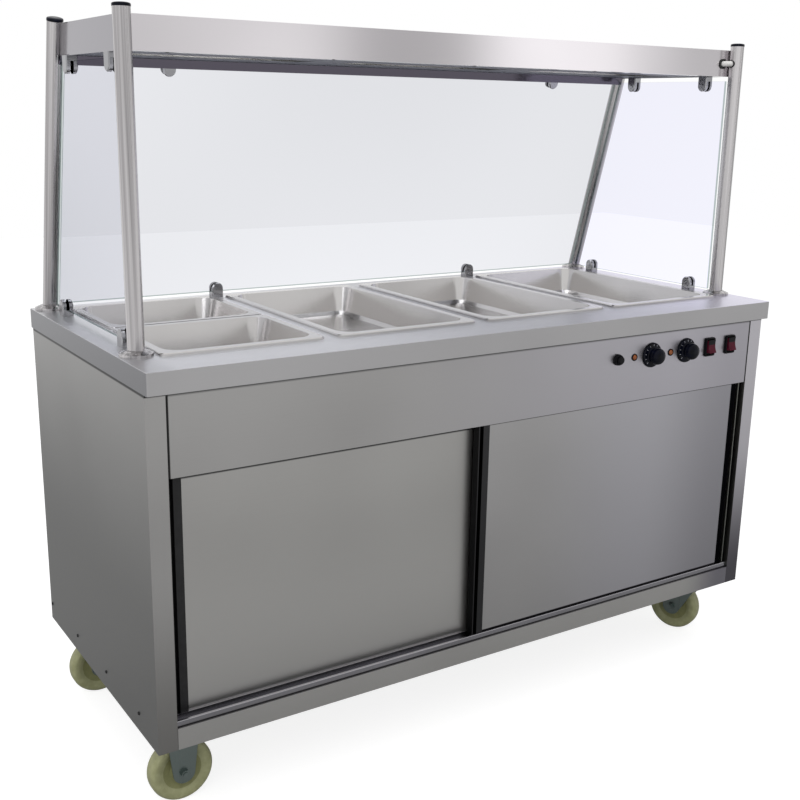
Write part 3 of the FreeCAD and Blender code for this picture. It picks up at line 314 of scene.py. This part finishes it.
def eased(points, radius, steps=4):
    """Outline whose inner corners are rounded off over a given length along each side."""
    done = [Vector(points[0])]
    for before, corner, after in zip(points, points[1:], points[2:]):
        before, corner, after = Vector(before), Vector(corner), Vector(after)
        reach = min(radius, (before - corner).length / 2, (after - corner).length / 2)
        start = corner + (before - corner).normalized() * reach
        end = corner + (after - corner).normalized() * reach
        for i in range(steps + 1):
            t = i / steps
            done.append(start * (1 - t) ** 2 + corner * 2 * t * (1 - t) + end * t ** 2)
    return done + [Vector(points[-1])]


def turned(outline, steps=72):
    """Surface of revolution about Z from (radius, height) points."""
    shape = bmesh.new()
    ring = [shape.verts.new((point[0], 0, point[1])) for point in outline]
    edges = [shape.edges.new(pair) for pair in zip(ring, ring[1:])]
    bmesh.ops.spin(shape, geom=ring + edges, axis=(0, 0, 1), cent=(0, 0, 0), angle=math.tau,
                   steps=steps)
    bmesh.ops.remove_doubles(shape, verts=shape.verts, dist=0.001)
    return shape


def skinned(loops):
    """Skin over closed loops with equal numbers of points, closed at both ends."""
    shape = bmesh.new()
    rings = [[shape.verts.new(point) for point in loop] for loop in loops]
    for low, high in zip(rings, rings[1:]):
        for i in range(len(low)):
            j = (i + 1) % len(low)
            shape.faces.new((low[i], low[j], high[j], high[i]))
    shape.faces.new(rings[0][::-1])
    shape.faces.new(rings[-1])
    return shape


def joined(*shapes):
    """One shape from several."""
    whole = bmesh.new()
    for shape in shapes:
        mesh = bpy.data.meshes.new("joined_part")
        shape.to_mesh(mesh)
        shape.free()
        whole.from_mesh(mesh)
        bpy.data.meshes.remove(mesh)
    return whole


def rounded_loop(width, height, corner, depth, steps=6):
    """Upright rectangle with round corners at a depth along Y."""
    loop = []
    for turn, (sx, sz) in enumerate(((1, 1), (-1, 1), (-1, -1), (1, -1))):
        for i in range(steps + 1):
            angle = math.pi / 2 * (turn + i / steps)
            loop.append((sx * (width / 2 - corner) + corner * math.cos(angle), depth,
                         sz * (height / 2 - corner) + corner * math.sin(angle)))
    return loop


def piece(name, shape, node, *finishes, place=None, replaces=False):
    """Links a shape in mm as a smooth piece that rides with a node's body. It takes the finish of
    the node's slot unless finishes are given."""
    shape.transform(Matrix.Scale(MM, 4) @ (place or Matrix()))
    bmesh.ops.recalc_face_normals(shape, faces=shape.faces)
    mesh = bpy.data.meshes.new(name)
    shape.to_mesh(mesh)
    shape.free()
    for finish in finishes or (FINISH[SLOT_OF[node]],):
        mesh.materials.append(finish)
    mesh.polygons.foreach_set("use_smooth", [True] * len(mesh.polygons))
    mesh.set_sharp_from_angle(angle=math.radians(38))
    made = bpy.data.objects.new(name, mesh)
    bpy.context.scene.collection.objects.link(made)
    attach(made, BODY_OF[node])
    if replaces:
        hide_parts(node)


# Controls

PANEL_Y = -315.75
CONTROL_Z = 766.0
BUTTON_X = 301.0
LAMP_X = (351.0, 461.5)
KNOB_X = {"knob_left": 403.0, "knob_right": 509.5}
ROCKER_X = {"rocker_left": 585.5, "rocker_right": 652.5}
KNOB_TICKS = 11
KNOB_SWEEP = 270


def on_panel(x):
    """Turns Z of a turned piece to the front and puts it on the control line."""
    return Matrix.Translation((x, PANEL_Y, CONTROL_Z)) @ Matrix.Rotation(math.pi / 2, 4, "X")


def thermostat_knob(node):
    """Skirted knob with a round grip, and white ticks on the skirt over its 270 degrees."""
    outline = [(0.0, 0.5), (28.0, 0.5), (27.4, 3.4), (25.6, 4.6), (19.0, 5.6), (15.2, 7.5),
               (18.4, 14.0), (18.6, 20.0), (16.0, 27.5), (8.0, 31.0), (0.0, 31.0)]
    place = on_panel(KNOB_X[node])
    piece(node + "_turned", turned(eased(outline, 4.0)), node, place=place, replaces=True)
    ticks = bmesh.new()
    on_skirt = Matrix.Translation((0, 22.6, 5.0)) @ Matrix.Rotation(math.atan2(-1.0, 6.6), 4, "X")
    for i in range(KNOB_TICKS):
        angle = KNOB_SWEEP * (i / (KNOB_TICKS - 1) - 0.5)
        turn = Matrix.Rotation(math.radians(angle), 4, "Z")
        size = Matrix.Diagonal((0.8 if i % 5 else 1.3, 3.8, 0.8, 1))
        bmesh.ops.create_cube(ticks, size=1, matrix=turn @ on_skirt @ size)
    piece(node + "_ticks", ticks, node, TICK_PAINT, place=place)


def rocker_switch(node):
    """Proud black frame with round corners, and a saddle-faced rocker, red below and black above."""
    width, height, tilt = 22.0, 30.0, math.radians(-9)
    proud, dip, pivot = 12.0, 2.6, 3.95
    frame_size = (31.5, 43.0)
    opening = (width + 1.2, height + 5.2)
    loops = [rounded_loop(*frame_size, 4.0, 0.0), rounded_loop(*frame_size, 4.0, -3.0),
             rounded_loop(29.5, 41.0, 3.6, -5.2), rounded_loop(26.5, 38.4, 2.6, -5.6),
             rounded_loop(*opening, 1.2, -4.6), rounded_loop(*opening, 1.2, 7.0)]
    place = Matrix.Translation((ROCKER_X[node], PANEL_Y, CONTROL_Z))
    piece(node + "_frame", skinned(loops), "control_bezels", place=place)
    rows = 14
    levels = [k / rows - 0.5 for k in range(rows + 1)]
    face = [(-proud + dip * math.cos(math.pi * level), height * level) for level in levels]
    section = face + [(pivot, height / 2 - 0.6), (pivot + 2, height / 4), (pivot + 2, -height / 4),
                      (pivot, -height / 2 + 0.6)]
    sides = ((-0.5, 0.95), (-0.46, 0.99), (-0.42, 1.0), (0.42, 1.0), (0.46, 0.99), (0.5, 0.95))
    paddle = skinned([[(width * x, y * share, z * share) for y, z in section] for x, share in sides])
    for flat in paddle.faces:
        flat.material_index = int(flat.calc_center_median().z > height * 0.16)
    to_pivot = Matrix.Translation((0, pivot, 0))
    swing = to_pivot @ Matrix.Rotation(tilt, 4, "X") @ to_pivot.inverted()
    piece(node + "_paddle", paddle, node, FINISH["red_lens"], FINISH["black_plastic"],
          place=place @ swing, replaces=True)


for knob in KNOB_X:
    thermostat_knob(knob)
for switch in ROCKER_X:
    rocker_switch(switch)
collar = [(9.0, 0.0), (12.5, 0.0), (12.5, 3.0), (11.5, 4.0), (11.5, 7.4), (10.8, 8.0), (9.0, 8.0),
          (9.0, 0.0)]
piece("button_collar", turned(eased(collar, 0.8)), "control_bezels", place=on_panel(BUTTON_X),
      replaces=True)
lamp_ring = [(6.1, 0.0), (8.2, 0.0), (8.0, 1.6), (7.2, 2.4), (6.1, 1.8), (6.1, 0.0)]
for number, x in enumerate(LAMP_X, 1):
    piece(f"lamp_ring_{number}", turned(eased(lamp_ring, 0.6)), "control_bezels", place=on_panel(x))


# Castors, each with its trail in mm and its heading in degrees

CASTORS = {"front_left": (0.0, 180), "front_right": (36.0, 109),
           "rear_left": (0.0, 180), "rear_right": (36.0, 160)}
CASTOR_X = {"left": -688.0, "right": 688.0}
CASTOR_Y = {"front": -233.25, "rear": 246.75}
WHEEL_RADIUS = 62.5
WEB_RADIUS = 38.0
FORK_TOP = 33.0
FORK_FOOT = 22.0
FORK_SIDE = 24.0
CROWN = 6.0


def castor_place(corner):
    """Puts a castor that trails along X under its corner, at its heading."""
    end, side = corner.split("_")
    heading = Matrix.Rotation(math.radians(CASTORS[corner][1]), 4, "Z")
    return Matrix.Translation((CASTOR_X[side], CASTOR_Y[end], 0)) @ heading


def castor_wheel(corner):
    """Cast wheel: round-shouldered tread, flat rim, recessed web and a hub; the web is a deeper
    tone of painted shade in its recess."""
    side = [(5.2, 19.0), (15.0, 19.0), (19.0, 12.5), (24.0, 10.0), (36.0, 11.5), (46.0, 16.0),
            (51.0, 17.0), (57.0, 17.0), (WHEEL_RADIUS, 10.5)]
    outline = side + [(r, -h) for r, h in side[::-1]] + [side[0]]
    wheel = turned(eased(outline, 5.0), steps=96)
    # The web's faces take the painted shade tone
    for flat in wheel.faces:
        flat.material_index = int(flat.calc_center_median().to_2d().length < WEB_RADIUS)
    trail = CASTORS[corner][0]
    axle = Matrix.Translation((trail, 0, WHEEL_RADIUS)) @ Matrix.Rotation(math.pi / 2, 4, "X")
    node = "castor_wheel_" + corner
    piece(node + "_cast", wheel, node, FINISH["wheel_nylon"], WEB_NYLON_SHADE,
          place=castor_place(corner) @ axle, replaces=True)


def fork_outline(trail, crown, inset):
    """Leg from the crown, tapering by tangents to a round foot at the axle; two half sizes less an
    inset."""
    top, foot = FORK_TOP - inset, FORK_FOOT - inset
    axle = Vector((trail, WHEEL_RADIUS))
    ends = []
    for corner, side in ((Vector((top, crown)), 1), (Vector((-top, crown)), -1)):
        away = corner - axle
        ends.append(math.atan2(away.y, away.x) - side * math.acos(foot / away.length))
    start, end = ends[0], ends[1] - math.tau
    steps = 20
    arc = [start + (end - start) * i / steps for i in range(steps + 1)]
    round_foot = [(axle.x + foot * math.cos(a), axle.y + foot * math.sin(a)) for a in arc]
    return [(top, crown)] + round_foot + [(-top, crown)]


def castor_fork(corner):
    """Zinc-plated pressing: a flat crown and two broad legs with round feet."""
    node = "castor_fork_" + corner
    trail = CASTORS[corner][0]
    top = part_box(node)[1].z / MM
    crown = top - CROWN
    levels = ((20.0, 0.7), (20.7, 0.0), (23.3, 0.0), (FORK_SIDE, 0.7))
    legs = []
    for side in (1, -1):
        legs.append(skinned([[(x, side * y, z) for x, z in fork_outline(trail, crown, inset)]
                             for y, inset in levels]))
    cap = skinned([rounded_loop(2 * (FORK_TOP - inset), 2 * (FORK_SIDE - inset), 5.0 - inset, -z)
                   for z, inset in ((crown, 0.0), (top - 1, 0.0), (top, 1.0))])
    cap.transform(Matrix.Rotation(math.pi / 2, 4, "X") @ Matrix.Scale(-1, 4, (0, 1, 0)))
    piece(node + "_pressed", joined(cap, *legs), node, place=castor_place(corner), replaces=True)


for corner in CASTORS:
    castor_wheel(corner)
    castor_fork(corner)


# Post caps, each end with its Y, Z and lean

POST_X = {"left": -726.0, "right": 726.0}
POST_TOPS = {"front": (-198.25, 1435.0, 0.0), "rear": (163.72, 1431.12, POST_LEAN)}
skirted_cap = [(0.0, 3.0), (10.0, 3.0), (14.8, 1.6), (15.6, -0.2), (15.6, -3.6), (15.05, -3.6)]
for end, (y, z, tilt) in POST_TOPS.items():
    for side, x in POST_X.items():
        seat = Matrix.Translation((x, y, z)) @ Matrix.Rotation(math.radians(tilt), 4, "X")
        piece(f"post_cap_{end}_{side}", turned(eased(skirted_cap, 2.0), steps=48), "post_caps",
              FINISH["knob_plastic"], place=seat, replaces=True)


# Hood screws

SCREW_PITCH = 320.0
SCREW_Y = -171.0
HOOD_UNDERSIDE = 1366.5
screw_head = [(0.0, 2.6), (2.4, 2.4), (4.2, 1.2), (4.4, 0.0), (0.0, 0.0)]
for number in range(5):
    spot = Matrix.Translation((SCREW_PITCH * (number - 2), SCREW_Y, HOOD_UNDERSIDE))
    piece(f"hood_screw_{number + 1}", turned(eased(screw_head, 0.8), steps=24), "side_screws",
          place=spot @ Matrix.Rotation(math.pi, 4, "X"))


# Floor, light and camera

AMBIENT = 0.62
# Degrees from straight ahead to the right, and the tone that metal sees there
SOFT_PANELS = [(10, "#dbdbdb"), (20, "#c9c9c9"), (28.8, "#e2e2e2"), (31.5, "#a6a6a6"),
               (35.8, "#acacac"), (38.4, "#ffffff"), (43, "#ffffff"), (47, "#adadad"),
               (60, "#dbdbdb")]
PANEL_START, PANEL_END = 10.0, 70.0
PANEL_STRENGTH = 1.4
FLOOR_HALF = 9.0
FLOOR_GLOW = 0.82
# The floor that metal sees is dark over a patch, in metres, a painted pool of shade round the counter,
# and lightens away from it
SWEEP_MIDDLE, SWEEP_HALF = (0.37, 1.02, 0), (1.13, 1.38, 0)
SWEEP_NEAR, SWEEP_FAR = 0.15, 3.2
SWEEP_DARK, SWEEP_LIGHT = 0.17, 0.82
# Place in metres, width in metres and power in watts
SOFT_BOXES = {"key_softbox": ((-2.6, -2.2, 3.0), 3.2, 60.0),
              "top_softbox": ((0.2, 0.4, 3.6), 3.0, 45.0)}
AIM = Vector((0, 0, 0.75))


def white_world():
    """World that is white to the camera and through glass, and a plain level as light. Metal sees
    the edges of soft panels in it, to the front right, by the angle from straight ahead."""
    world = bpy.data.worlds.new("white_studio")
    bpy.context.scene.world = world
    world.use_nodes = True
    tree = world.node_tree
    path = add(tree, "ShaderNodeLightPath", {}).outputs
    seen = add(tree, "ShaderNodeMath", {0: path["Is Camera Ray"], 1: path["Is Glossy Ray"]},
               operation="MAXIMUM").outputs[0]
    seen = add(tree, "ShaderNodeMath", {0: seen, 1: path["Is Transmission Ray"]},
               operation="MAXIMUM").outputs[0]
    level = add(tree, "ShaderNodeMapRange", {"Value": seen, "To Min": AMBIENT, "To Max": 1.0})
    ray = add(tree, "ShaderNodeTexCoord", {}).outputs["Generated"]
    ray = add(tree, "ShaderNodeSeparateXYZ", {0: ray}).outputs
    ahead = add(tree, "ShaderNodeMath", {0: ray["Y"], 1: -1.0}, operation="MULTIPLY").outputs[0]
    turn = add(tree, "ShaderNodeMath", {0: ray["X"], 1: ahead}, operation="ARCTAN2").outputs[0]
    turn = add(tree, "ShaderNodeMapRange", {
        "Value": turn, "From Min": math.radians(PANEL_START), "From Max": math.radians(PANEL_END)})
    bands = [((angle - PANEL_START) / (PANEL_END - PANEL_START), code) for angle, code in SOFT_PANELS]
    panels = add(tree, "ShaderNodeValToRGB", {"Fac": turn.outputs[0]}, stops=bands).outputs["Color"]
    panels = add(tree, "ShaderNodeMath", {0: panels, 1: PANEL_STRENGTH},
                 operation="MULTIPLY").outputs[0]
    strength = add(tree, "ShaderNodeMix", {
        "Factor": path["Is Glossy Ray"], "A": level.outputs[0], "B": panels}, data_type="FLOAT")
    back = tree.nodes["Background"]
    back.inputs["Color"].default_value = (1, 1, 1, 1)
    tree.links.new(strength.outputs[0], back.inputs["Strength"])


def studio_floor():
    """Pale matt paint that keeps the counter's shadow and reads as white. Metal sees it as a plain
    lit floor beside and behind the counter, a painted pool of shade, and as a white sweep further out."""
    mesh = bpy.data.meshes.new("studio_floor")
    mesh.from_pydata([(-FLOOR_HALF, -FLOOR_HALF, 0), (FLOOR_HALF, -FLOOR_HALF, 0),
                      (FLOOR_HALF, FLOOR_HALF, 0), (-FLOOR_HALF, FLOOR_HALF, 0)], [], [(0, 1, 2, 3)])
    floor = bpy.data.objects.new("studio_floor", mesh)
    bpy.context.scene.collection.objects.link(floor)
    paint, tree, shader = material(
        "white_studio_floor", Base_Color=colour("#a4a4a4"), Roughness=1.0, Specular_IOR_Level=0.0,
        Emission_Color=(1, 1, 1, 1))
    path = add(tree, "ShaderNodeLightPath", {}).outputs
    spot = add(tree, "ShaderNodeTexCoord", {}).outputs["Object"]
    for operation, inputs in (("SUBTRACT", {1: SWEEP_MIDDLE}), ("ABSOLUTE", {}),
                              ("SUBTRACT", {1: SWEEP_HALF}), ("MAXIMUM", {1: (0, 0, 0)})):
        spot = add(tree, "ShaderNodeVectorMath", {0: spot, **inputs}, operation=operation).outputs[0]
    away = add(tree, "ShaderNodeVectorMath", {0: spot}, operation="LENGTH").outputs["Value"]
    sweep = add(tree, "ShaderNodeMapRange", {
        "Value": away, "From Min": SWEEP_NEAR, "From Max": SWEEP_FAR,
        "To Min": SWEEP_DARK, "To Max": SWEEP_LIGHT}).outputs[0]
    direct = add(tree, "ShaderNodeMath", {0: path["Is Camera Ray"], 1: path["Is Transmission Ray"]},
                 operation="MAXIMUM").outputs[0]
    direct = add(tree, "ShaderNodeMath", {0: direct, 1: FLOOR_GLOW}, operation="MULTIPLY").outputs[0]
    mirrored = add(tree, "ShaderNodeMath", {0: path["Is Glossy Ray"], 1: sweep},
                   operation="MULTIPLY").outputs[0]
    glow = add(tree, "ShaderNodeMath", {0: direct, 1: mirrored}, operation="MAXIMUM").outputs[0]
    tree.links.new(glow, shader.inputs["Emission Strength"])
    mesh.materials.append(paint)


def soft_boxes():
    """Two square soft boxes that light the counter at a plain level. Metal doesn't mirror them,
    because the white world already stands for what it mirrors."""
    for name, (place, width, power) in SOFT_BOXES.items():
        lamp = bpy.data.lights.new(name, "AREA")
        lamp.shape = "SQUARE"
        lamp.size = width
        lamp.energy = power
        box = bpy.data.objects.new(name, lamp)
        box.location = place
        box.visible_glossy = False
        box.rotation_euler = (AIM - Vector(place)).to_track_quat("-Z", "Y").to_euler()
        bpy.context.scene.collection.objects.link(box)


def camera():
    """Camera fitted to the photograph's corners; angles in degrees, focal length in pixels of 800,
    place in mm."""
    turn, rise, roll = (math.radians(a) for a in (-33.183, 14.662, 1.037))
    focal, image, sensor = 1112.929, 800, 36.0
    place = Vector((-1371.44, -2020.529, 1280.431))
    back = Vector((math.sin(turn) * math.cos(rise), -math.cos(turn) * math.cos(rise), math.sin(rise)))
    right = (-back).cross(Vector((0, 0, 1))).normalized()
    up = right.cross(-back)
    across = right * math.cos(roll) + up * math.sin(roll)
    upward = up * math.cos(roll) - right * math.sin(roll)
    lens = bpy.data.cameras.new("photo_camera")
    lens.sensor_width = sensor
    lens.lens = focal / image * sensor
    eye = bpy.data.objects.new("photo_camera", lens)
    bpy.context.scene.collection.objects.link(eye)
    turned_to = Matrix((across, upward, back)).transposed().to_4x4()
    eye.matrix_world = Matrix.Translation(place * MM) @ turned_to
    bpy.context.scene.camera = eye


white_world()
studio_floor()
soft_boxes()
camera()
bpy.context.scene.view_settings.view_transform = "Standard"
